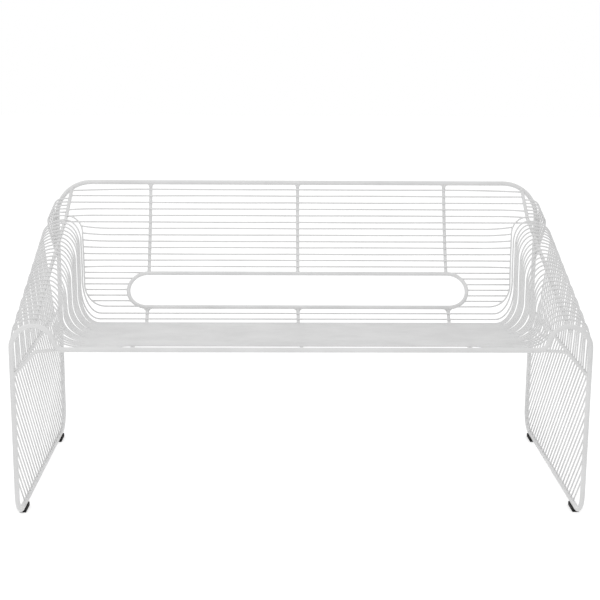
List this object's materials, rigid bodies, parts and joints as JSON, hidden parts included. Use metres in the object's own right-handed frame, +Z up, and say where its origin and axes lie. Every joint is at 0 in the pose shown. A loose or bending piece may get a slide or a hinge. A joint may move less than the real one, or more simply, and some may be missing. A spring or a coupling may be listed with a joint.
{
  "type": "garden bench",
  "caption": "Outdoor bench of welded rod and wire: wire seat and back shell that rolls over both arms, slot in the back, wire side panels and rubber feet.",
  "frame": {"origin": "on the floor under the middle of the bench: halfway between the side panels and halfway between the front and rear legs", "axes": "+X to the sitter's left as seen from the front (right in a front view), +Y to the back, +Z up"},
  "size_m": [1.457, 0.7137, 0.7568],
  "materials": {
    "white_powder_coat": "smooth semi-gloss white powder coat",
    "black_rubber": "matte black moulded rubber"
  },
  "bodies": {
    "root": {"arm_brace_left": "white_powder_coat", "arm_brace_right": "white_powder_coat", "arm_ridge_left": "white_powder_coat", "arm_ridge_right": "white_powder_coat", "back_strut_centre": "white_powder_coat", "back_strut_left": "white_powder_coat", "back_strut_right": "white_powder_coat", "back_wire_01": "white_powder_coat", "back_wire_02": "white_powder_coat", "back_wire_03": "white_powder_coat", "back_wire_04": "white_powder_coat", "back_wire_05": "white_powder_coat", "back_wire_06": "white_powder_coat", "back_wire_07": "white_powder_coat", "back_wire_08": "white_powder_coat", "back_wire_09": "white_powder_coat", "back_wire_10": "white_powder_coat", "back_wire_11": "white_powder_coat", "back_wire_12": "white_powder_coat", "back_wire_13": "white_powder_coat", "foot_pad_front_left": "black_rubber", "foot_pad_front_right": "black_rubber", "foot_pad_rear_left": "black_rubber", "foot_pad_rear_right": "black_rubber", "front_frame": "white_powder_coat", "lumbar_ring": "white_powder_coat", "rear_leg_left": "white_powder_coat", "rear_leg_right": "white_powder_coat", "seat_bearer_centre": "white_powder_coat", "seat_bearer_left": "white_powder_coat", "seat_bearer_right": "white_powder_coat", "shell_wire_21": "white_powder_coat", "shell_wire_22": "white_powder_coat", "shell_wire_23": "white_powder_coat", "shell_wire_24": "white_powder_coat", "shell_wire_25": "white_powder_coat", "shell_wire_26": "white_powder_coat", "shell_wire_27": "white_powder_coat", "shell_wire_28": "white_powder_coat", "shell_wire_29": "white_powder_coat", "shell_wire_30": "white_powder_coat", "shell_wire_31": "white_powder_coat", "shell_wire_32": "white_powder_coat", "shell_wire_33": "white_powder_coat", "shell_wire_34": "white_powder_coat", "shell_wire_35": "white_powder_coat", "shell_wire_36": "white_powder_coat", "shell_wire_37": "white_powder_coat", "shell_wire_38": "white_powder_coat", "shell_wire_39": "white_powder_coat", "shell_wire_40": "white_powder_coat", "shell_wire_41": "white_powder_coat", "shell_wire_42": "white_powder_coat", "shell_wire_43": "white_powder_coat", "shell_wire_44": "white_powder_coat", "shell_wire_45": "white_powder_coat", "shell_wire_46": "white_powder_coat", "side_grille_left": "white_powder_coat", "side_grille_right": "white_powder_coat", "top_rail": "white_powder_coat"}
  },
  "joints": []
}
